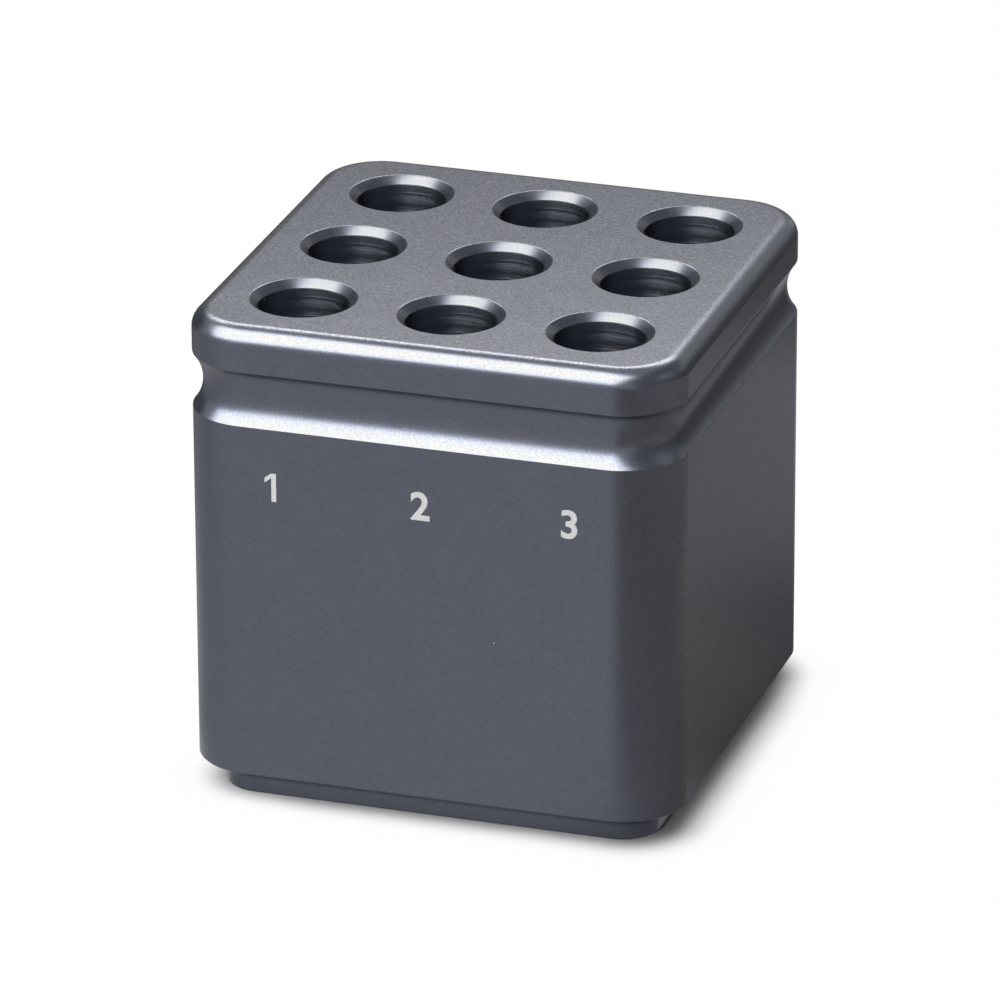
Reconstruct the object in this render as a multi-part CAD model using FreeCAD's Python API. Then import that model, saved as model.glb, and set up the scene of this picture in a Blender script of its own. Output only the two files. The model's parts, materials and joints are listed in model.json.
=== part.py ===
import FreeCAD, Part
import math
import os

# Tube cooling rack: one machined block of aluminium with nine blind wells for test tubes.
# The origin is the centre of the foot's underside. +Z is up, X runs along the front face
# and Y runs to the back. All sizes are in millimetres.

# The tube that a well takes, and how far the bore stands off it on the diameter.
tube_diameter = 16.0
tube_clearance = 0.4

# The wells: a square pattern of blind bores with a countersunk mouth.
wells_per_side = 3
well_depth = 80.0
well_floor_chamfer = 1.0
mouth_width = 1.5
mouth_depth = 1.35

# The metal left round the wells: between two mouths, from an outer mouth to the wall
# of the block, and under the floor of a well.
web_between_mouths = 8.25
land_to_wall = 8.6
floor_thickness = 12.0

# The outside of the block: its upright corners and the round along its top edge.
corner_radius = 12.0
top_edge_radius = 3.5

# The foot, a plinth that stands in from the wall all round.
foot_height = 5.75
foot_inset = 5.05

# The finger groove, an arc in section that runs round all four sides under the head.
groove_below_top = 13.2
groove_width = 10.4
groove_depth = 1.9
upper_lip_radius = 0.8
lower_lip_radius = 0.2

# The small break left on every other sharp outer edge.
edge_break = 0.25

# How far a cutting tool stands out past the face that it cuts.
overrun = 1.0

# Two heights closer than this are the same, and the block has four like sides.
same_height = 0.001
sides = 4
side_turn = 360 / sides

# What follows from the sizes above.
bore_radius = (tube_diameter + tube_clearance) / 2
mouth_radius = bore_radius + mouth_width
well_pitch = 2 * mouth_radius + web_between_mouths
block_side = (wells_per_side - 1) * well_pitch + 2 * (mouth_radius + land_to_wall)
block_height = well_depth + floor_thickness
groove_centre_height = block_height - groove_below_top

UP = FreeCAD.Vector(0, 0, 1)
ORIGIN = FreeCAD.Vector(0, 0, 0)


def rounded_square(side, radius, height):
    """A square outline with round corners, centred on the origin, at one height."""
    edges = []
    flat = side / 2 - radius
    diagonal = radius * math.sqrt(0.5)
    for side_number in range(sides):
        turn = FreeCAD.Rotation(UP, side_turn * side_number)
        corner = [
            FreeCAD.Vector(side / 2, flat, height),
            FreeCAD.Vector(flat + diagonal, flat + diagonal, height),
            FreeCAD.Vector(flat, side / 2, height),
        ]
        start, middle, end = [turn.multVec(point) for point in corner]
        before = turn.multVec(FreeCAD.Vector(side / 2, -flat, height))
        edges.append(Part.makeLine(before, start))
        edges.append(Part.Arc(start, middle, end).toShape())
    return Part.Wire(edges)


def rounded_prism(side, radius, bottom, top):
    """An upright block with round corners between two heights."""
    outline = Part.Face(rounded_square(side, radius, bottom))
    return outline.extrude(UP * (top - bottom))


def edges_at(solid, height):
    """The edges of a solid that lie level at one height."""
    found = []
    for edge in solid.Edges:
        box = edge.BoundBox
        if max(abs(box.ZMin - height), abs(box.ZMax - height)) < same_height:
            found.append(edge)
    return found


def block_blank():
    """The block before its wells and groove: a foot, and a body with a rounded top edge."""
    foot_side = block_side - 2 * foot_inset
    foot = rounded_prism(foot_side, corner_radius - foot_inset, 0, foot_height)
    foot = foot.makeChamfer(edge_break, edges_at(foot, 0))
    body = rounded_prism(block_side, corner_radius, foot_height, block_height)
    body = body.makeFillet(top_edge_radius, edges_at(body, block_height))
    body = body.makeChamfer(edge_break, edges_at(body, foot_height))
    return body.fuse(foot)


def groove_ring():
    """The metal that the groove takes away: a bar along each side and an elbow round each corner.

    The arc of the groove is struck from a centre outside the wall, so that it comes in by
    its depth over its width.
    """
    radius = ((groove_width / 2) ** 2 + groove_depth ** 2) / (2 * groove_depth)
    centre_outside = radius - groove_depth
    flat = block_side / 2 - corner_radius
    wall = block_side / 2
    pieces = []
    for side_number in range(sides):
        bar_start = FreeCAD.Vector(wall + centre_outside, -flat, groove_centre_height)
        bar = Part.makeCylinder(radius, 2 * flat, bar_start, FreeCAD.Vector(0, 1, 0))
        elbow_centre = FreeCAD.Vector(flat, flat, groove_centre_height)
        elbow = Part.makeTorus(corner_radius + centre_outside, radius, elbow_centre, UP, 0, 360, side_turn)
        for piece in (bar, elbow):
            piece.rotate(ORIGIN, UP, side_turn * side_number)
            pieces.append(piece)
    return pieces[0].fuse(pieces[1:])


def well(x, y):
    """The metal that one well takes away: a flat-bottomed bore and its countersunk mouth."""
    floor = FreeCAD.Vector(x, y, floor_thickness)
    bore = Part.makeCylinder(bore_radius, well_depth + overrun, floor, UP)
    bore = bore.makeChamfer(well_floor_chamfer, edges_at(bore, floor_thickness))
    slope = mouth_width / mouth_depth
    mouth = Part.makeCone(
        bore_radius,
        mouth_radius + overrun * slope,
        mouth_depth + overrun,
        FreeCAD.Vector(x, y, block_height - mouth_depth),
        UP,
    )
    return bore.fuse(mouth)


def well_places():
    """The centre of each well, row by row from the front left."""
    first = -(wells_per_side - 1) * well_pitch / 2
    places = []
    for row in range(wells_per_side):
        for column in range(wells_per_side):
            places.append((first + column * well_pitch, first + row * well_pitch))
    return places


def rack_block():
    """The finished rack: the blank, grooved round its sides and bored from above."""
    block = block_blank().cut(groove_ring())
    for side, radius in ((1, upper_lip_radius), (-1, lower_lip_radius)):
        lip = edges_at(block, groove_centre_height + side * groove_width / 2)
        block = block.makeFillet(radius, lip)
    block = block.cut([well(x, y) for x, y in well_places()])
    return block.removeSplitter()


block = rack_block()
solid = block.Solids[0]
os.makedirs("parts", exist_ok=True)
solid.exportStep("parts/rack_block.step")
box = solid.optimalBoundingBox()
print("rack_block:", len(block.Solids), "solid, valid", solid.isValid())
print("size", round(box.XLength, 3), round(box.YLength, 3), round(box.ZLength, 3), "mm")
print("well pitch", round(well_pitch, 3), "mm, volume", round(solid.Volume / 1000, 2), "cm3")
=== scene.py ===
# %% [markdown]
# # Tube cooling rack
# A laboratory rack for nine test tubes: one block of aluminium, milled, bead blasted and
# anodised slate grey. It stands on ice or in a freezer, and its mass keeps the tubes cold.
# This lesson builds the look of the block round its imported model, which gives the true size.
# Blender counts in metres, so `mm` turns millimetres into metres.

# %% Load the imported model
import json
import math

import bmesh
import bpy
from mathutils import Matrix, Vector


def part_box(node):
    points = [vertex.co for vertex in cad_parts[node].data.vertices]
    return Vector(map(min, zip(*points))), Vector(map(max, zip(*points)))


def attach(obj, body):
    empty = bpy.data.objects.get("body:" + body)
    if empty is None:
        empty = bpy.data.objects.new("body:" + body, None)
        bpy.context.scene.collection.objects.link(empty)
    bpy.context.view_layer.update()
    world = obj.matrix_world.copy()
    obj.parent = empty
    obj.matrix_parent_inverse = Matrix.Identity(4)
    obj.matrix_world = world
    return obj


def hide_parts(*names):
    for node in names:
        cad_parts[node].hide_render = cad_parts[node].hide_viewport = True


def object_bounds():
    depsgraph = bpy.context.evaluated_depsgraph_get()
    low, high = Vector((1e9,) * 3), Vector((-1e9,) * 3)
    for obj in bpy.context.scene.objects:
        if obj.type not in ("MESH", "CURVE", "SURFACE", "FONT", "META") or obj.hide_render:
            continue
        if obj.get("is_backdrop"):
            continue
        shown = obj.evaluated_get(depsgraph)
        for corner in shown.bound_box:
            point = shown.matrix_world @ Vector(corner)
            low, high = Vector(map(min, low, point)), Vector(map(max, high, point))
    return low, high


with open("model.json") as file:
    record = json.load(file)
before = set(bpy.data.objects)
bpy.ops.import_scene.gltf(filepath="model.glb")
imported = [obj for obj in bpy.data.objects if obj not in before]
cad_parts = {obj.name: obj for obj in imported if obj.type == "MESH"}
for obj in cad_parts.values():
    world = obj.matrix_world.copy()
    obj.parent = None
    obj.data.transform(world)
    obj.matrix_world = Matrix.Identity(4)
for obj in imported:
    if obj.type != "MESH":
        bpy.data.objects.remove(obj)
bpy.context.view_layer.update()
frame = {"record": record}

mm = 0.001


def in_mm(*lengths):
    """Lengths as rounded millimetres, to be printed."""
    return [round(length / mm, 3) for length in lengths]


block_low, block_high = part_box("rack_block")
print("block", in_mm(*(block_high - block_low)), "mm")

# %% [markdown]
# ## The outside sizes
# The width and the height are read from the model, so the new mesh can't drift from it. The
# rest are the sizes of the details: the round corners, the foot, and the finger groove, which
# is an arc in section. The numbers are an ink film a hundredth of a millimetre thick, and
# the wall stands back by that film, so that the printed face is still the widest part.

# %% Sizes of the outside
ink_film = 0.01 * mm
wall = block_high.x - ink_film
height = block_high.z
corner_radius = 12.0 * mm
corner_axis = block_high.x - corner_radius
head_round = 3.5 * mm

foot_height = 5.75 * mm
foot_inset = 5.05 * mm
foot_wall = wall - foot_inset
edge_break = 0.25 * mm

groove_below_top = 13.2 * mm
groove_middle = height - groove_below_top
groove_width = 10.4 * mm
groove_depth = 1.9 * mm
upper_lip = 0.8 * mm
lower_lip = 0.2 * mm
print("from the middle to the wall and to the foot", in_mm(wall, foot_wall), "mm")

# %% [markdown]
# ## The well sizes
# The record lists each well as a bore, with its place, radius and length. They could be typed
# in again, but reading them keeps the wells true to the tubes that go in. The mouth is a
# countersink, a millimetre and a half wider than the bore all round.

# %% Sizes of the wells
wells = [mount for mount in frame["record"]["mounts"] if mount["kind"] == "bore"]
well_places = [Vector((mount["pos_m"][0], mount["pos_m"][1], 0)) for mount in wells]
well_pitch = max(place.x for place in well_places)
bore_radius = wells[0]["dims"]["r_mm"] * mm
bore_length = wells[0]["dims"]["length_mm"] * mm
bore_top = wells[0]["pos_m"][2] + bore_length / 2
bore_bottom = wells[0]["pos_m"][2] - bore_length / 2
floor_chamfer = 1.0 * mm
countersink_width = 1.5 * mm
mouth_radius = bore_radius + countersink_width
mouth_land = 0.5 * mm
print(len(wells), "wells, bore and pitch", in_mm(2 * bore_radius, well_pitch), "mm")

# %% [markdown]
# ## A tool for sections
# Most of this block is a section that is carried along a path. A section could be typed as a
# list of points, but a change of one radius would then move many of them. So each outline is
# drawn as a chain of edges, the way a miller reads a drawing: straight moves, and arcs about
# a centre. `Section` keeps one end of the chain selected, moves it on with extrude and turns
# it with spin. Spin goes clockwise round its axis, so the axes here point the other way
# than the right hand rule would have them.

# %% Section drawing
class Section:
    """A chain of edges in an upright plane: out is away from the middle, up is height."""

    def __init__(self, name, place, outward, out, up):
        self.place = Vector(place)
        self.outward = Vector(outward)
        self.across = Vector((0, 0, 1)).cross(self.outward)
        bpy.ops.object.select_all(action="DESELECT")
        bpy.ops.mesh.primitive_plane_add(size=mm, location=self.point(out, up))
        self.piece = bpy.context.object
        self.piece.name = name
        bpy.ops.object.transform_apply(location=True, rotation=False, scale=False)
        bpy.ops.object.mode_set(mode="EDIT")
        bpy.ops.mesh.select_mode(type="VERT")
        bpy.ops.mesh.merge(type="CENTER")
        self.end = (out, up)

    def point(self, out, up):
        """A place in the plane of the section as a place in the room."""
        return self.place + self.outward * out + Vector((0, 0, up))

    def line(self, out, up):
        """Draws a straight edge to a new end."""
        move = self.point(out, up) - self.point(*self.end)
        bpy.ops.mesh.extrude_region_move(TRANSFORM_OT_translate={"value": move})
        self.end = (out, up)

    def arc(self, centre_out, centre_up, turn, steps):
        """Draws an arc about a centre. A positive turn goes from outwards to upwards."""
        centre = self.point(centre_out, centre_up)
        bpy.ops.mesh.spin(steps=steps, angle=turn, center=centre, axis=self.across)
        out = self.end[0] - centre_out
        up = self.end[1] - centre_up
        self.end = (
            centre_out + out * math.cos(turn) - up * math.sin(turn),
            centre_up + out * math.sin(turn) + up * math.cos(turn),
        )


quarter_turn = math.pi / 2
head_steps = 14
stray = head_round * (1 - math.cos(quarter_turn / head_steps / 2))
print("the steps of the head's round stray from the true arc by", in_mm(stray), "mm")

# %% [markdown]
# ## The section of the outside
# A mill cuts the same section all round: foot, ledge, wall, finger groove and rounded head.
# A cube with a groove cut out by a boolean would look right from afar, but it has long thin
# faces at the corners, and metal shows each of them. So the section is drawn once, from the
# foot up to the top face, where a corner starts.
# The two lips of the groove are fillets. Each one touches the wall and the arc of the groove,
# so its angle and its height follow from the right triangle between the two centres.

# %% Section of the outside
groove_radius = ((groove_width / 2) ** 2 + groove_depth ** 2) / (2 * groove_depth)
groove_centre = wall + groove_radius - groove_depth
lower_steps = 6
groove_steps = 28
upper_steps = 8


def lip_turn(lip):
    """The angle that a lip turns through between the wall and the arc of the groove."""
    return math.acos((groove_centre - wall + lip) / (groove_radius + lip))


def lip_rise(lip):
    """How far the centre of a lip lies above or below the middle of the groove."""
    return (groove_radius + lip) * math.sin(lip_turn(lip))


lower_centre = groove_middle - lip_rise(lower_lip)
upper_centre = groove_middle + lip_rise(upper_lip)
groove_turn = -lip_turn(lower_lip) - lip_turn(upper_lip)
head_centre = height - head_round

section = Section("machined_block", (corner_axis, 0, 0), (0, -1, 0), foot_wall - edge_break, 0)
section.line(foot_wall, edge_break)
section.line(foot_wall, foot_height)
section.line(wall - edge_break, foot_height)
section.line(wall, foot_height + edge_break)
section.line(wall, lower_centre)
section.arc(wall - lower_lip, lower_centre, lip_turn(lower_lip), lower_steps)
section.arc(groove_centre, groove_middle, groove_turn, groove_steps)
section.arc(wall - upper_lip, upper_centre, lip_turn(upper_lip), upper_steps)
section.line(wall, head_centre)
section.arc(wall - head_round, head_centre, quarter_turn, head_steps)
block = section.piece
print("the section ends at", in_mm(*section.end), "mm")

# %% [markdown]
# ## Round the block
# The cutter travels along a side and swings round a corner, four times over. The mesh is made
# the same way: spin turns the section about the axis of the corner, and extrude pushes it
# along the side, until it meets itself. A side and a corner that are mirrored would do too, but
# then each seam has to be closed. Every side starts and ends with a short run, so that
# the light settles there and the long flat is even.

# %% Corners and sides
corner_steps = 28
run_in = 0.5 * mm
same_place = 0.001 * mm
moves = (run_in, 2 * (corner_axis - run_in), run_in)


def face_count(piece):
    """How many faces a piece has while it is in edit mode."""
    return len(bmesh.from_edit_mesh(piece.data).faces)


bpy.ops.mesh.select_all(action="SELECT")
for side in range(4):
    quarter = Matrix.Rotation(side * quarter_turn, 3, "Z")
    turning_point = quarter @ Vector((corner_axis, -corner_axis, 0))
    bpy.ops.mesh.spin(steps=corner_steps, angle=quarter_turn, center=turning_point, axis=(0, 0, -1))
    for move in moves:
        push = quarter @ Vector((0, move, 0))
        bpy.ops.mesh.extrude_region_move(TRANSFORM_OT_translate={"value": push})
bpy.ops.mesh.select_all(action="SELECT")
bpy.ops.mesh.remove_doubles(threshold=same_place)
print("sides and corners:", face_count(block), "faces")

# %% [markdown]
# ## The underside
# The foot stands flat, and its underside is plain: one face between the lowest edges. By hand
# they would be clicked. In code they are chosen by their place, and `choose` does that here
# and in all later steps.

# %% Close the underside
def choose(piece, kind, test):
    """Selects the verts, edges or faces of a piece in edit mode that pass a test."""
    bpy.ops.mesh.select_mode(type=kind[:-1].upper())
    bpy.ops.mesh.select_all(action="DESELECT")
    shape = bmesh.from_edit_mesh(piece.data)
    chosen = [part for part in getattr(shape, kind) if test(part)]
    for part in chosen:
        part.select_set(True)
    shape.select_flush_mode()
    bmesh.update_edit_mesh(piece.data)
    return len(chosen)


def middle(part):
    """The middle of an edge or a face."""
    return sum((vertex.co for vertex in part.verts), Vector()) / len(part.verts)


lowest = choose(block, "edges", lambda edge: edge.is_boundary and middle(edge).z < edge_break)
bpy.ops.mesh.edge_face_add()
bpy.ops.object.mode_set(mode="OBJECT")
print("underside closed between", lowest, "edges")

# %% [markdown]
# ## One well
# A well is turned, not milled: a drill and a boring bar leave a round wall, and a countersink
# opens the mouth. Nine cylinders could be cut out by a boolean, but spin gives even rings of
# faces, and the light runs smoothly round them. The section is drawn from the middle of the
# floor outwards and spun once round. It ends in a narrow land of the flat top.

# %% One well
well_steps = 144
well_floor = bore_bottom - floor_chamfer
well = Section("well", well_places[0], (1, 0, 0), 0, well_floor)
well.line(bore_radius - floor_chamfer, well_floor)
well.line(bore_radius, bore_bottom)
well.line(bore_radius, bore_top)
well.line(mouth_radius, height)
well.line(mouth_radius + mouth_land, height)
bpy.ops.mesh.select_all(action="SELECT")
bpy.ops.mesh.spin(steps=well_steps, angle=math.tau, center=well_places[0], axis=(0, 0, 1))
bpy.ops.mesh.select_all(action="SELECT")
bpy.ops.mesh.remove_doubles(threshold=same_place)
print("one well:", face_count(well.piece), "faces")

# %% [markdown]
# ## The edges of the mouth
# No real edge is perfectly sharp. The two edges of a mouth are broken by about a tenth of a
# millimetre, and that hairline catches the light. A material can fake it, but only in the
# renderer that it was made for, so here it is a bevel of the mesh.

# %% Break the edges of the mouth
outer_break = 0.14 * mm
inner_break = 0.06 * mm


def from_axis(point):
    """How far a point is from the axis of the nearest well."""
    return min((point - place).xy.length for place in well_places)


def is_ring(edge, radius, level):
    """True for an edge that lies along a circle round a well at one height."""
    near = 0.01 * mm
    return all(
        abs(from_axis(vertex.co) - radius) < near and abs(vertex.co.z - level) < near
        for vertex in edge.verts
    )


choose(well.piece, "edges", lambda edge: is_ring(edge, mouth_radius, height))
bpy.ops.mesh.bevel(offset=outer_break, segments=3, affect="EDGES")
choose(well.piece, "edges", lambda edge: is_ring(edge, bore_radius, bore_top))
bpy.ops.mesh.bevel(offset=inner_break, segments=2, affect="EDGES")
print("one well with its edges broken:", face_count(well.piece), "faces")

# %% [markdown]
# ## Nine wells
# The rack has three rows of three wells. An array modifier could repeat the first, but the
# record gives the place of each one, so the well is copied from place to place.

# %% Copy the well
bpy.ops.mesh.select_mode(type="VERT")
bpy.ops.mesh.select_all(action="SELECT")
for here, there in zip(well_places, well_places[1:]):
    bpy.ops.mesh.duplicate_move(TRANSFORM_OT_translate={"value": there - here})
print("all wells:", face_count(well.piece), "faces")
bpy.ops.object.mode_set(mode="OBJECT")

# %% [markdown]
# ## The top face
# The top is one flat face with nine round openings. Block and wells are joined into one mesh,
# and fill spans the gap between the round of the head and the lands of the wells. A grid
# would be tidier to look at, but a flat face shades evenly however it is divided. Then the
# normals are recalculated, because spin can leave faces that point inwards.

# %% Join the wells and fill the top
bpy.ops.object.select_all(action="DESELECT")
well.piece.select_set(True)
block.select_set(True)
bpy.context.view_layer.objects.active = block
bpy.ops.object.join()
bpy.ops.object.mode_set(mode="EDIT")
rims = choose(block, "edges", lambda edge: edge.is_boundary)
bpy.ops.mesh.fill(use_beauty=True)
bpy.ops.mesh.select_all(action="SELECT")
bpy.ops.mesh.normals_make_consistent(inside=False)
print("top face filled between", rims, "edges")

# %% [markdown]
# ## Smooth shading
# The rounds must look round and the flats must stay flat. Smooth shading alone would bend the
# light on the flats beside each round. So every face is given a strength: the flats are
# strong, the walls of wells and corners are medium, and the small rounds are weak. The
# Weighted Normal modifier then lets the strongest faces at a vertex decide which way the
# light sees it, so that a fillet bends the light and the wall beside it doesn't.

# %% Face strengths and normals
upright = 0.0001
square_on = 1 - upright / 100
sharp_angle = math.radians(50)


def is_flat(face):
    """True for a face that looks along one of the axes."""
    return max(abs(part) for part in face.normal) > square_on


def is_wall(face):
    """True for an upright face and for every face in a well."""
    in_well = from_axis(middle(face)) < mouth_radius - 0.1 * mm
    return abs(face.normal.z) < upright or in_well


choose(block, "faces", lambda face: True)
bpy.ops.mesh.faces_shade_smooth()
bpy.ops.mesh.mod_weighted_strength(set=True, face_strength="WEAK")
choose(block, "faces", is_wall)
bpy.ops.mesh.mod_weighted_strength(set=True, face_strength="MEDIUM")
flats = choose(block, "faces", is_flat)
bpy.ops.mesh.mod_weighted_strength(set=True, face_strength="STRONG")
bpy.ops.object.mode_set(mode="OBJECT")
bpy.ops.object.shade_smooth_by_angle(angle=sharp_angle)
weighted = block.modifiers.new("flat faces lead", "WEIGHTED_NORMAL")
weighted.mode = "CORNER_ANGLE"
weighted.keep_sharp = True
weighted.use_face_influence = True
bpy.ops.object.modifier_apply(modifier=weighted.name)
print("block:", len(block.data.polygons), "faces,", flats, "of them flat")

# %% [markdown]
# ## Shader maths
# A finish is a net of nodes. It could be wired one node and one link at a time, but a pattern
# is easier to read as the sum that it is. `Signal` wraps one output of a node, and plus,
# minus, times and divide on it add Math nodes. The reflected forms let a plain number come
# first, as in 1 - mask.

# %% Signal
class Signal:
    """An output socket of a node. Arithmetic on it adds Math nodes."""

    def __init__(self, finish, socket):
        self.finish = finish
        self.socket = socket

    def math(self, operation, *others):
        """A Math node with this signal as its first value."""
        values = {0: self, **dict(enumerate(others, 1))}
        return self.finish.node("Math", {"operation": operation}, values)

    def __add__(self, other):
        return self.math("ADD", other)

    def __sub__(self, other):
        return self.math("SUBTRACT", other)

    def __mul__(self, other):
        return self.math("MULTIPLY", other)

    def __truediv__(self, other):
        return self.math("DIVIDE", other)

    def __rsub__(self, other):
        return self.finish.node("Math", {"operation": "SUBTRACT"}, {0: other, 1: self})

    def __rtruediv__(self, other):
        return self.finish.node("Math", {"operation": "DIVIDE"}, {0: other, 1: self})

    __radd__ = __add__
    __rmul__ = __mul__

    def ramp(self, start, end):
        """0 below start, 1 above end, and a smooth rise between."""
        settings = {"interpolation_type": "SMOOTHSTEP"}
        values = {"Value": self, "From Min": start, "From Max": end}
        return self.finish.node("MapRange", settings, values)

    def beside(self, name):
        """Another output of the node that this signal comes from."""
        return Signal(self.finish, self.socket.node.outputs[name])


print("a Signal goes in sums such as a + b, a * 2, a / b and 1 - a")

# %% [markdown]
# ## Finishes
# `Finish` is a material, or the world, with its nodes. Every node comes from one method, which
# takes its type, its settings and the values or links of its sockets, so that all finishes
# below are built alike. The other methods are patterns that several finishes share. The
# places come from Object coordinates, so a pattern stays where it is on the real block.

# %% Finish
class Finish:
    """A node tree and the one way to add a node to it."""

    def __init__(self, owner):
        owner.use_nodes = True
        self.owner = owner
        self.tree = owner.node_tree
        self.tree.nodes.clear()

    def node(self, kind, settings=None, sockets=None, output=0):
        """Adds a node and gives one of its outputs."""
        made = self.tree.nodes.new("ShaderNode" + kind)
        for name, value in (settings or {}).items():
            setattr(made, name, value)
        for name, value in (sockets or {}).items():
            if isinstance(value, Signal):
                self.tree.links.new(value.socket, made.inputs[name])
            else:
                made.inputs[name].default_value = value
        return Signal(self, made.outputs[output]) if made.outputs else None

    def place(self, source="Object"):
        """The x, y and z of a point on the piece in metres, or its place on the UV map."""
        split = self.node("SeparateXYZ", sockets={"Vector": self.node("TexCoord", output=source)})
        return [split.beside(axis) for axis in ("X", "Y", "Z")]

    def point(self, x, y, z):
        """Three values as one place."""
        return self.node("CombineXYZ", sockets={"X": x, "Y": y, "Z": z})

    def noise(self, where, size, detail, roughness):
        """Smooth noise from 0 to 1 whose features are about this size."""
        sockets = {"Vector": where, "Scale": 1 / size, "Detail": detail, "Roughness": roughness}
        return self.node("TexNoise", {"noise_dimensions": "3D"}, sockets, "Fac")

    def lines(self, travel, width):
        """Noise from 0 to 1 that changes along one value only, in lines about this wide."""
        sockets = {"W": travel, "Scale": 1 / width, "Detail": 3.0}
        return self.node("TexNoise", {"noise_dimensions": "1D"}, sockets, "Fac")

    def blend(self, share, first, second):
        """A colour between two colours. They go into sockets 6 and 7 of a Mix node."""
        sockets = {"Factor": share}
        for number, colour in ((6, first), (7, second)):
            sockets[number] = colour if isinstance(colour, Signal) else (*colour, 1)
        return self.node("Mix", {"data_type": "RGBA"}, sockets, 2)

    def scaled(self, colour, factor):
        """A colour made lighter or darker by a factor."""
        return self.node("VectorMath", {"operation": "SCALE"}, {"Vector": colour, "Scale": factor})

    def surface(self, shader):
        """Shows a shader on the surface, and gives the material."""
        self.node("OutputMaterial", sockets={"Surface": shader})
        return self.owner


trial = Finish(bpy.data.materials.new("trial"))
along_x, along_y, _ = trial.place()
(along_x * along_x + along_y * along_y).math("SQRT")
print("the distance from the middle of the block takes", len(trial.tree.nodes), "nodes")
bpy.data.materials.remove(trial.owner)

# %% [markdown]
# ## The colours of the metal
# The dye sits in the clear layer that anodising grows, and the metal still shines through. So
# the base colour isn't that of a paint but that of the reflections: dark slate, bluish, with
# warmer grains between. The wells were cut after the skin was blasted, and look darker
# and more even.

# %% Colours of the metal
slate = (0.088, 0.103, 0.140)
slate_warm = (0.106, 0.108, 0.124)
mouth_slate = (0.077, 0.091, 0.124)
mouth_warm = (0.094, 0.095, 0.109)
bored_slate = (0.064, 0.078, 0.104)
bored_grey = (0.078, 0.085, 0.102)
dust = (0.62, 0.60, 0.57)
print("skin", slate, "and", slate_warm)

# %% [markdown]
# ## Grains and dust
# Two patterns are made of random cells. A Voronoi texture divides space into them and gives
# each one random numbers. Small cells with a shade of their own are the grains of the skin.
# Wide cells with a dot in the middle of some are the specks of dust that any rack has. A
# picture of dust would show its seams, and a noise has no clear dots.

# %% Cells and specks
grain_size = 0.24 * mm
dust_from = 0.66


def cells(finish, where, size):
    """Random cells: two random numbers for each, and how far a point is from its middle."""
    sockets = {"Vector": where, "Scale": 1 / size, "Randomness": 1.0}
    net = finish.node("TexVoronoi", {"feature": "F1"}, sockets)
    first = finish.node("SeparateColor", sockets={"Color": net.beside("Color")})
    return first, first.beside("Green"), net.beside("Distance")


def specks(finish, where, spacing, size):
    """1 on sparse specks of dust, 0 elsewhere: a dot in about a third of the cells."""
    pick, _, distance = cells(finish, where, spacing)
    reach = size / spacing
    return (1.0 - distance.ramp(reach * 0.5, reach)) * pick.math("GREATER_THAN", dust_from)


def dusty_metal(finish, colour, roughness, relief, depth, speck):
    """Metal with a fine relief, and with specks on it that aren't metal."""
    bump = finish.node("Bump", sockets={"Strength": 1.0, "Distance": depth, "Height": relief})
    sockets = {
        "Base Color": finish.blend(speck, colour, dust),
        "Metallic": 1.0 - speck,
        "Roughness": roughness,
        "Normal": bump,
    }
    return finish.surface(finish.node("BsdfPrincipled", sockets=sockets))


print("about", round(2 * wall / grain_size), "grains across the block")

# %% [markdown]
# ## Where the grain shows
# Fine glass beads are blown at the milled block, which leaves a skin of tiny dimples. Seen from
# low down, as the top is, they make bright and dark grains side by side. The front looks
# nearly smooth, because the large light evens it out. Deep bump would show this by itself
# but needs far more light samples, so the grain is mostly in the colour, with its
# strength set for each side, which is painted sheen. Two lines are painted shade: under the
# ledge, and along the bottom edge, where the foot meets the table.

# %% Strength of the grain
front_grain = 0.18
side_grain = 0.58
top_grain = 0.52
far_grain = 0.2
side_fade = 1.5 * mm
top_fade = 0.6 * mm


def grain_strength(x, y, z):
    """How far the grains differ, with painted sheen in it: least in front and behind, most on the top
    and the sides.
    """
    on_side = x.math("ABSOLUTE").ramp(wall - side_fade, wall)
    on_top = z.ramp(height - top_fade, height)
    return front_grain + on_top * (top_grain + y.ramp(-wall, wall) * far_grain) + on_side * side_grain


def foot_lines(z):
    """A factor of painted shade that darkens the line under the ledge and the bottom edge of the
    foot.
    """
    below_ledge = 1.0 - z.ramp(foot_height, foot_height + 0.4 * mm)
    shade_under_ledge = z.ramp(2.5 * mm, 3.6 * mm) * below_ledge
    bottom_edge_shade = 1.0 - z.ramp(0.1 * mm, 0.6 * mm)
    return 1.0 - shade_under_ledge * 0.55 - bottom_edge_shade * 0.5


print("grain: front", front_grain, "side", front_grain + side_grain, "top", front_grain + top_grain)

# %% [markdown]
# ## The blasted skin
# This is the finish of all that is seen from outside: grains of two tones, faint clouds from
# the anodising bath, shallow dimples as bump, and a few specks of dust.

# %% Blasted skin
dimple_size = 0.34 * mm
dimple_depth = 0.003 * mm
cloud_size = 9 * mm
cloud_contrast = 0.08
skin_roughness = 0.235


def blasted_skin():
    """Bead blasted, anodised aluminium."""
    finish = Finish(bpy.data.materials.new("blasted_skin"))
    x, y, z = finish.place()
    where = finish.point(x, y, z)
    dimples = finish.noise(where, dimple_size, 1.0, 0.6)
    shade, tint, _ = cells(finish, where, grain_size)
    cloud = finish.noise(where, cloud_size, 3.0, 0.55)
    # the grains are real, but their strength for each side is painted sheen
    brightness = 1.0 + (shade - 0.5) * grain_strength(x, y, z) + (cloud - 0.5) * cloud_contrast
    # painted shade under the ledge and at the foot's bottom edge is multiplied into the colour
    colour = finish.scaled(finish.blend(tint, slate, slate_warm), brightness * foot_lines(z))
    speck = specks(finish, where, 8 * mm, 0.16 * mm)
    roughness = skin_roughness + cloud * 0.04 + speck * 0.4
    return dusty_metal(finish, colour, roughness, dimples, dimple_depth, speck)


skin = blasted_skin()
print(skin.name, len(skin.node_tree.nodes), "nodes")

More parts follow.
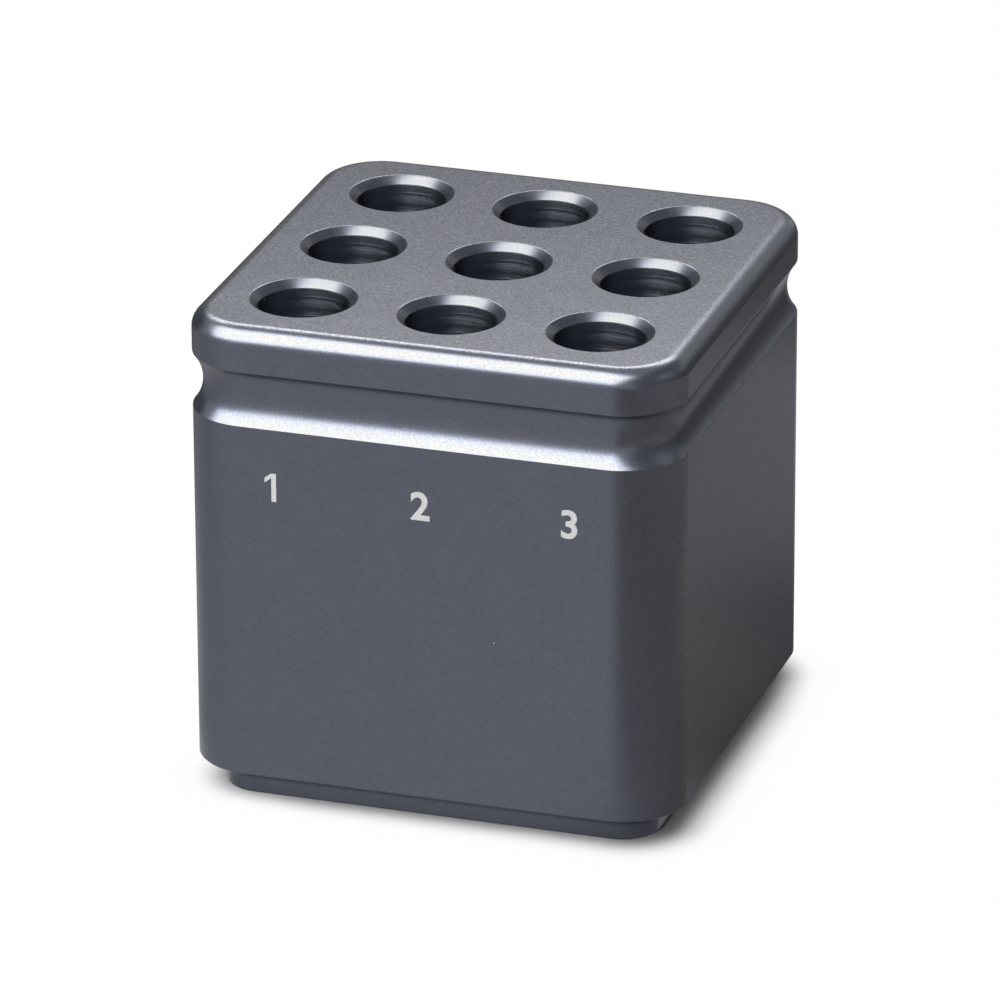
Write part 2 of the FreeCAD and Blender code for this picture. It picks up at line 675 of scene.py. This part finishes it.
# %% [markdown]
# ## The turned wells
# A cutter that turns leaves rings: round the countersink they follow the distance from the
# well's axis, and down the bore they follow the height. The sum of the two serves for both.
# The pattern needs to know the nearest axis. A UV map could tell it, but the wells stand on
# a square pitch, so rounding x and y to that pitch finds it. The rings are bump, deeper in
# the bore, where they spread the light up and down. Streaks and smears lie along them, and
# the chatter of the tool makes marks that run from the axis outwards.

# %% Turned finishes
smear_size = 3 * mm
smear_share = 0.6
chatter_size = 0.04


def turned(name, colours, roughness, ring_depth, ring_width, streak_width, streaking, chatter):
    """Anodised aluminium with the rings, streaks and chatter marks that a cutter leaves."""
    finish = Finish(bpy.data.materials.new(name))
    x, y, z = finish.place()
    from_x = x - (x / well_pitch).math("ROUND") * well_pitch
    from_y = y - (y / well_pitch).math("ROUND") * well_pitch
    radius = (from_x * from_x + from_y * from_y).math("SQRT")
    travel = radius + z
    rings = finish.lines(travel, ring_width)
    streaks = finish.lines(travel, streak_width)
    smear = finish.noise(finish.point(x, y, travel * 4), smear_size, 2.0, 0.5)
    direction = finish.point(from_x / radius, from_y / radius, 0.0)
    marks = finish.noise(direction, chatter_size, 2.0, 0.5)
    brightness = 1.0 + (streaks - 0.5) * streaking + (smear - 0.5) * streaking * smear_share
    brightness = brightness + (marks - 0.5) * chatter
    colour = finish.scaled(finish.blend(smear, *colours), brightness)
    speck = specks(finish, finish.point(x, y, z), 5 * mm, 0.2 * mm)
    return dusty_metal(finish, colour, roughness + smear * 0.05, rings, ring_depth, speck)


mouth = turned(
    "turned_mouth", (mouth_slate, mouth_warm), roughness=0.27, ring_depth=0.002 * mm,
    ring_width=0.12 * mm, streak_width=0.12 * mm, streaking=0.5, chatter=0.4,
)
bore = turned(
    "bored_wall", (bored_slate, bored_grey), roughness=0.26, ring_depth=0.022 * mm,
    ring_width=0.05 * mm, streak_width=0.2 * mm, streaking=0.16, chatter=0.1,
)
finishes = [skin, mouth, bore]
print([material.name for material in finishes])

# %% [markdown]
# ## Each region gets its finish
# One mesh can carry several materials. The wells could be pieces of their own, but the real
# block is one piece, so its faces are given a material by their place: the countersinks, the
# bores, and the skin on all the rest. The piece then rides on the model's only body and
# stands for the plain block, which is hidden.

# %% Give each region its finish
def in_mouth(face):
    """True for a face of a countersink."""
    return from_axis(middle(face)) < mouth_radius and middle(face).z > bore_top


def in_bore(face):
    """True for a face of a bore or of its floor."""
    return from_axis(middle(face)) < bore_radius + 0.02 * mm and middle(face).z < bore_top


for material in finishes:
    block.data.materials.append(material)
bpy.ops.object.mode_set(mode="EDIT")
for slot_number, region in ((1, in_mouth), (2, in_bore)):
    found = choose(block, "faces", region)
    block.active_material_index = slot_number
    bpy.ops.object.material_slot_assign()
    print(finishes[slot_number].name, found, "faces")
bpy.ops.object.mode_set(mode="OBJECT")
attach(block, "root")
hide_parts("rack_block")

# %% [markdown]
# ## The ink
# The front is screen printed in pale grey ink: a plain number under each column of wells. The
# print could be a mask in the skin, but a digit's outline is hard to write as a sum. A thin
# film of its own keeps sharp edges at any distance. The ink is matt, and a little uneven
# where the mesh of the screen held it back.

# %% The ink
ink_thin = (0.615, 0.613, 0.625)
ink_full = (0.72, 0.715, 0.73)


def ink():
    """Pale grey screen ink."""
    finish = Finish(bpy.data.materials.new("screen_ink"))
    cover = finish.noise(finish.point(*finish.place()), 0.35 * mm, 2.0, 0.6)
    colour = finish.blend(cover.ramp(0.25, 0.75), ink_thin, ink_full)
    sockets = {"Base Color": colour, "Roughness": 0.55}
    return finish.surface(finish.node("BsdfPrincipled", sockets=sockets))


screen_ink = ink()
print(screen_ink.name, len(screen_ink.node_tree.nodes), "nodes")

# %% [markdown]
# ## Typed numbers
# The two and the three are typed as text in the built-in typeface, which has plain strokes.
# Offset makes the strokes bolder, extrude gives them a thickness, and convert turns the text
# into a mesh that the other tools can work on.

# %% Typed numbers
number_height = 5.4 * mm
digit_share = 0.73
bolder = 0.17 * mm


def typed(number):
    """A number typed as text, made bolder and thicker, and turned into a mesh."""
    bpy.ops.object.text_add()
    text = bpy.context.object.data
    text.body = str(number)
    text.align_x = "CENTER"
    text.size = number_height / digit_share
    text.offset = bolder
    text.extrude = 2 * ink_film
    text.resolution_u = 8
    bpy.ops.object.convert(target="MESH")


print("a digit of", in_mm(number_height), "mm needs type of", in_mm(number_height / digit_share))

# %% [markdown]
# ## The one
# A printed one is a stem with a slanted flag. It is so simple that its strokes are drawn one by one,
# which
# gives the narrow shape that it has here: the edges of a small square are drawn out.

# %% The one
stroke = 0.9 * mm
stem_middle = 0.3 * mm
flag = (-1.25 * mm, -0.95 * mm, 0)


def one():
    """A one with a flag: its lower edge is drawn down to the foot, and its left edge to the flag."""
    start = (stem_middle, number_height - stroke / 2, -2 * ink_film)
    bpy.ops.mesh.primitive_plane_add(size=stroke, location=start)
    bpy.ops.object.transform_apply()
    bpy.ops.object.mode_set(mode="EDIT")
    piece = bpy.context.object
    choose(piece, "edges", lambda edge: middle(edge).y < number_height - 0.9 * stroke)
    down = (0, stroke - number_height, 0)
    bpy.ops.mesh.extrude_region_move(TRANSFORM_OT_translate={"value": down})
    top = number_height - stroke
    choose(piece, "edges", lambda edge: middle(edge).x < -0.05 * mm and middle(edge).y > top)
    bpy.ops.mesh.extrude_region_move(TRANSFORM_OT_translate={"value": flag})
    bpy.ops.mesh.select_all(action="SELECT")
    bpy.ops.mesh.extrude_region_move(TRANSFORM_OT_translate={"value": (0, 0, 4 * ink_film)})
    bpy.ops.mesh.select_all(action="SELECT")
    bpy.ops.mesh.normals_make_consistent(inside=False)
    bpy.ops.object.mode_set(mode="OBJECT")


print("a stroke is", in_mm(stroke), "mm wide")

# %% [markdown]
# ## Print the numbers
# Each number is stood up and set under its column. Three quarters of its thickness is sunk in
# the wall, so that it can't float, and only the ink film stands out. The three are joined,
# because they are one print.

# %% Print the numbers
number_level = 59.9 * mm
columns = sorted({round(place.x, 6) for place in well_places})
digits = []
for number, column in enumerate(columns, 1):
    bpy.ops.object.select_all(action="DESELECT")
    if number == 1:
        one()
    else:
        typed(number)
    digit = bpy.context.object
    digit.rotation_euler = (quarter_turn, 0, 0)
    digit.location = (column, -block_high.y + 2 * ink_film, number_level)
    bpy.ops.object.transform_apply()
    digits.append(digit)
bpy.ops.object.select_all(action="DESELECT")
for digit in digits:
    digit.select_set(True)
bpy.context.view_layer.objects.active = digits[0]
bpy.ops.object.join()
numbers = bpy.context.object
numbers.name = "column_numbers"
numbers.data.materials.append(screen_ink)
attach(numbers, "root")
print("numbers:", len(numbers.data.polygons), "faces")

# %% [markdown]
# ## The table and its shade
# The rack stands on a plain white table. To shine pure white, paper would need so much light
# that the metal burns out. So the camera sees real paper only where the foot's shade falls,
# and plain white further out. Both measures are distances from the outline of the block,
# and the shade reaches a little further where the photograph shows it wider.

# %% Shade on the table
def from_outline(x, y):
    """How far a point of the table is from the outline of the block. It is negative inside."""
    past_x = (x.math("ABSOLUTE") - corner_axis).math("MAXIMUM", 0.0)
    past_y = ((y - 1.5 * mm).math("ABSOLUTE") - corner_axis).math("MAXIMUM", 0.0)
    return (past_x * past_x + past_y * past_y).math("SQRT") - (wall - corner_axis)


def out_of_shade(x, y, distance):
    """0 in the shade at the foot and 1 on the open table."""
    at_back = y.ramp(20 * mm, 42 * mm)
    wider = x.ramp(15 * mm, 55 * mm) * (1.4 * mm - at_back * (1.6 * mm))
    narrower = (x * -1.0).ramp(20 * mm, 38 * mm) * (1.4 * mm)
    past_shade = distance - (wider - narrower)
    return past_shade.ramp(-4.5 * mm, 4.2 * mm) * 0.94 + past_shade.ramp(0, 10 * mm) * 0.06


def ray_kinds(finish, *kinds):
    """For each kind of ray a signal: 1 for rays of that kind, 0 for others."""
    path = finish.node("LightPath")
    return [path.beside(f"Is {kind} Ray") for kind in kinds]


print("the outline is rounded by", in_mm(wall - corner_axis), "mm at its corners")

# %% [markdown]
# ## What the metal sees of the table
# Metal shows the table as well, mirrored, and in the photograph that mirror image isn't plain
# white: the table is brightest in front, darker at the sides and behind, darker again close to
# the block, and it ends at the back and on the left. Lamps alone could make such tones, but
# each would light the block too. So the tones are written down by direction and by
# distance. `around` is 0 degrees in front and 180 behind.

# %% Tones of the table
cool_white = (1.05, 1.02, 1.1)
warm_white = (1.08, 1.02, 0.97)


def angle_ramp(angle, start, end):
    """0 before one angle and 1 past the other, both in degrees."""
    return angle.ramp(math.radians(start), math.radians(end))


class TableTones:
    """What the metal sees of the table, in regions with soft edges."""

    def __init__(self, x, y, distance):
        self.x = x
        self.y = y
        self.distance = distance
        self.azimuth = x.math("ARCTAN2", y * -1.0)
        self.around = self.azimuth.math("ABSOLUTE")
        self.aside = angle_ramp(self.around, 30, 120)
        self.right = x.ramp(16 * mm, 68 * mm)
        self.left_back = angle_ramp(self.azimuth * -1.0, 98, 135) * (x * -1.0).ramp(0, 60 * mm)
        self.behind = angle_ramp(self.around, 118, 142).math("MAXIMUM", self.left_back)
        self.right_back = x.ramp(-60 * mm, 5 * mm)

    def broad(self):
        """The large tones: darker at the sides and behind, and paler again far off."""
        darker = (self.aside * 0.56).math("MAXIMUM", self.right * 0.5)
        tone = 1.0 - darker - self.behind * 0.15 - self.left_back * 0.07
        tone = tone - self.x.ramp(90 * mm, 150 * mm) * 0.06 + self.x.ramp(150 * mm, 280 * mm) * 0.16
        tone = tone + self.behind * self.distance.ramp(90 * mm, 170 * mm) * 0.035
        not_right = 1.0 - self.x.ramp(45 * mm, 90 * mm)
        tone = tone + self.behind * self.distance.ramp(70 * mm, 120 * mm) * not_right * 0.05
        return tone + angle_ramp(self.around, 150, 163) * self.right_back * 0.09

    def close(self, start, end):
        """1 nearer to the block than start and 0 past end."""
        return 1.0 - self.distance.ramp(start, end)

    def belts(self):
        """A factor for the belts near the block, which are darker where the light is cut off."""
        away = (self.azimuth - math.radians(150)).math("COSINE").ramp(-0.2, 0.6)
        lee = away * self.close(0, 85 * mm)
        left = angle_ramp(self.azimuth * -1.0, 50, 75) * self.close(10 * mm, 60 * mm)
        right = (1.0 - angle_ramp(self.azimuth, 70, 120)) * self.right * self.close(4 * mm, 22 * mm)
        back = angle_ramp(self.around, 110, 135) * self.right_back * self.close(10 * mm, 35 * mm)
        at_wall = 0.68 + self.distance.ramp(-3 * mm, 12 * mm) * 0.32
        belts = (1.0 - lee * 0.62) * (1.0 - left * 0.37) * (1.0 - right * 0.5)
        return belts * at_wall * (1.0 + back * 0.15)

    def ends(self):
        """A factor for the dark past the back edge and the left edge of the table."""
        past_left = self.left_back * (self.x * -1.0).ramp(110 * mm, 200 * mm)
        past_back = self.y.ramp(175 * mm, 230 * mm)
        return 1.0 - (past_back * 0.55).math("MAXIMUM", past_left * 0.75)

    def colour(self, finish):
        """The tones with their tints: white in front, cool behind and warm on the right."""
        tint = finish.blend(self.right * (1.0 - self.behind), cool_white, warm_white)
        tint = finish.blend(self.aside.math("MAXIMUM", self.right), (1, 1, 1), tint)
        return finish.scaled(tint, self.broad() * self.belts() * self.ends())


print("tints of the table:", cool_white, "and", warm_white)

# %% [markdown]
# ## The table
# The table top is one large plane. Its material mixes two shaders: matt paper, which takes the
# shadow, with a painted shadow in its colour that is darkest where the foot touches it, and a
# glow that is plain white to the camera and has the tones to the metal. Light Path tells the
# rays apart. The top lies a hair below the foot, so that the two don't flicker in the same plane.

# %% The table
table_side = 8.0
paper_white = (0.82, 0.82, 0.82)


def table():
    """A white table top."""
    finish = Finish(bpy.data.materials.new("white_table"))
    x, y, _ = finish.place()
    camera_ray, glossy_ray, clear_ray = ray_kinds(finish, "Camera", "Glossy", "Transmission")
    mirrored = glossy_ray.math("MAXIMUM", clear_ray)
    distance = from_outline(x, y)
    # painted contact shadow: the paper's colour is darkened close to the foot
    painted_contact_shade = distance.ramp(-5.2 * mm, -4.0 * mm) * 0.75 + 0.25
    matt = {
        "Base Color": finish.scaled(paper_white, painted_contact_shade),
        "Roughness": 1.0,
        "Specular IOR Level": 0.0,
    }
    paper = finish.node("BsdfPrincipled", sockets=matt)
    white = finish.blend(mirrored, (1, 1, 1), TableTones(x, y, distance).colour(finish))
    glow = finish.node("Emission", sockets={"Color": white, "Strength": 1.0})
    share = (out_of_shade(x, y, distance) * camera_ray).math("MAXIMUM", mirrored)
    return finish.surface(finish.node("MixShader", sockets={0: share, 1: paper, 2: glow}))


bpy.ops.object.select_all(action="DESELECT")
bpy.ops.mesh.primitive_plane_add(size=table_side, location=(0, 0, -ink_film))
floor = bpy.context.object
floor.name = "table_top"
bpy.ops.object.transform_apply(location=True)
floor.data.materials.append(table())
floor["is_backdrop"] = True
print(floor.name, "is", table_side, "m wide")

# %% [markdown]
# ## The room
# Past the table the room is white as well. A strength of 1 shows as pure white, but as light
# on the block it would drown the shade. So the world has two strengths: 1 for what the
# camera and the metal see, and less for the light that falls on matt things.

# %% The room
seen_strength = 1.0
light_strength = 0.3
world = bpy.data.worlds.new("studio")
bpy.context.scene.world = world
room = Finish(world)
camera_ray, glossy_ray, clear_ray = ray_kinds(room, "Camera", "Glossy", "Transmission")
seen = camera_ray.math("MAXIMUM", glossy_ray).math("MAXIMUM", clear_ray)
white = (1, 1, 1, 1)
dim = room.node("Background", sockets={"Color": white, "Strength": light_strength})
bright = room.node("Background", sockets={"Color": white, "Strength": seen_strength})
mixed = room.node("MixShader", sockets={0: seen, 1: dim, 2: bright})
room.node("OutputWorld", sockets={"Surface": mixed})
print(world.name, "shows at", seen_strength, "and lights at", light_strength)

# %% [markdown]
# ## The key light
# A photographer lights metal with a softbox, a large cloth with a lamp behind it. Here the
# lamp lights the table and the ink from the front left, and the metal doesn't see it: a
# card in its place, made in the next step, gives a mirror image with soft edges.

# %% The key light
def towards(azimuth, elevation):
    """A direction: azimuth 0 is the front and 90 the right, elevation is above the table."""
    a = math.radians(azimuth)
    e = math.radians(elevation)
    return Vector((math.sin(a) * math.cos(e), -math.cos(a) * math.cos(e), math.sin(e)))


def facing(direction, roll):
    """The turn that makes a lamp, a card or the camera look back along a direction."""
    turn = direction.to_track_quat("Z", "Y").to_matrix() @ Matrix.Rotation(math.radians(roll), 3, "Z")
    return turn.to_euler()


def aimed(piece, azimuth, elevation, distance, roll=0.0):
    """Puts a lamp or a card in a direction, facing the rack. Roll moves its top to the right."""
    direction = towards(azimuth, elevation)
    piece.location = Vector((0, 0, height / 2)) + direction * distance
    piece.rotation_euler = facing(direction, roll)


key_side = 1.2
key_radiance = 2.2
bpy.ops.object.light_add(type="AREA")
key = bpy.context.object
key.name = "key_softbox"
key.data.shape = "RECTANGLE"
key.data.size = key_side
key.data.size_y = key_side
key.data.energy = key_radiance * math.pi * key_side * key_side
aimed(key, -33, 48, 1.0)
key.visible_glossy = False
print(key.name, round(key.data.energy, 2), "W")

# %% [markdown]
# ## Cards for the metal
# A picture of metal is a picture of what the metal mirrors. Photographers set white and grey
# cards round it, and so does this scene. More lamps could draw the same bright bands, but
# their edges are hard, and they would light the table. A card is a plane that only the
# metal sees, with soft edges, and it may change its tone from its bottom to its top. The key
# card is the softbox as the metal sees it, with a cooler rim. It draws the bright
# lines along the head and the groove.

# %% The key card
rim_share = 1.7


def inside(margin, *shares):
    """1 in the middle of a card and 0 at its edges, with a smooth rise over the margin."""
    level = 1.0
    for share in shares:
        level = share.ramp(0, margin) * (1.0 - share).ramp(0, margin) * level
    return level


def card(name, place, size, low, high, soft=0.2, rise=(0.05, 0.35), rim=None):
    """A card that only the metal sees. Its light changes from low to high over its rise."""
    bpy.ops.object.select_all(action="DESELECT")
    bpy.ops.mesh.primitive_plane_add(size=1.0)
    sheet = bpy.context.object
    sheet.name = name
    sheet.scale = (*size, 1)
    aimed(sheet, *place)
    bpy.ops.object.transform_apply()
    finish = Finish(bpy.data.materials.new(name))
    across, up, _ = finish.place("UV")
    light = finish.blend(up.ramp(*rise), low, high)
    if rim:
        light = finish.blend(inside(rim_share * soft, across, up), rim, light)
    glow = finish.node("Emission", sockets={"Color": light, "Strength": 1.0})
    clear = finish.node("BsdfTransparent")
    shown = {0: inside(soft, across, up), 1: clear, 2: glow}
    sheet.data.materials.append(finish.surface(finish.node("MixShader", sockets=shown)))
    sheet.visible_camera = False
    sheet.visible_diffuse = False
    sheet.visible_shadow = False
    sheet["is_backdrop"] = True
    print(name, "size", size, "m")


key_low = (9.8, 9.6, 8.9)
key_high = (10.1, 9.3, 7.4)
key_rim = (8.6, 9.3, 10.4)
card("key_card", (-34, 48.8, 1.0, 6), (1.63, 1.36), key_low, key_high, 0.15, rim=key_rim)

# %% [markdown]
# ## The other cards
# Each place is an azimuth and an elevation in degrees and a distance in metres. A small bright
# card behind lights the far walls of the mouths, and a thin one draws the line along the
# right edge of the top. The grey and dark cards stand low round the block and shade
# its sides, which would mirror the white room otherwise and look flat.

# %% The other cards
def grey(level):
    """A grey of one level."""
    return (level, level, level)


back_light = (8.1, 7.7, 7.3)
left_low = (0.125, 0.14, 0.165)
left_high = (0.2, 0.225, 0.265)
card("back_card", (-160.5, 49.5, 0.37), (0.45, 0.165), back_light, back_light, 0.25)
card("strip_card_back", (-177, 30.0, 1.5), (0.52, 0.22), grey(1.9), grey(1.9), 0.3)
card("grey_card_right", (95, 30, 1.6), (6.0, 3.0), grey(0.25), grey(0.48))
card("pale_card_right", (95, 28, 1.2), (0.9, 0.6), grey(0.95), grey(0.95), 0.3)
card("dark_card_right", (148, 8, 1.1), (1.0, 0.9), grey(0.12), grey(0.85), 0.2, (0.16, 0.8))
card("grey_card_left", (-126, 12, 1.4), (1.8, 1.2), left_low, left_high)
card("dark_card_back", (-168, 12, 0.27), (0.31, 0.15), grey(0.15), grey(0.3), 0.25)

# %% [markdown]
# ## The camera
# The photograph was taken from the front right and above, from far away with a long lens, so
# the edges of the block run almost parallel. Its place could be found by eye, but these
# values come from matching the corners, the rims of the wells and the groove of the model
# to the photograph.

# %% Camera
camera_azimuth = 17.882
camera_elevation = 22.768
camera_roll = -0.225
camera_distance = 1.4905
camera_target = Vector((0.00004, 0, 0.04527))

bpy.ops.object.camera_add()
camera = bpy.context.object
camera.name = "photo_camera"
camera.data.sensor_width = 36.0
camera.data.lens = 294.25
camera.data.clip_start = 0.05
camera.data.clip_end = 50.0
back = towards(camera_azimuth, camera_elevation)
camera.rotation_euler = facing(back, camera_roll)
camera.location = camera_target + back * camera_distance
bpy.context.scene.camera = camera
bpy.context.scene.view_settings.view_transform = "Standard"
print("camera at", [round(part, 3) for part in camera.location], "m")

# %% [markdown]
# ## The box of the finished model
# The box of the finished model is printed, beside the box of the imported block that was printed at
# the start. The looks must not change the size.

# %% The box of the finished model
low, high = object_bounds()
print("visual box", in_mm(*(high - low)), "mm")
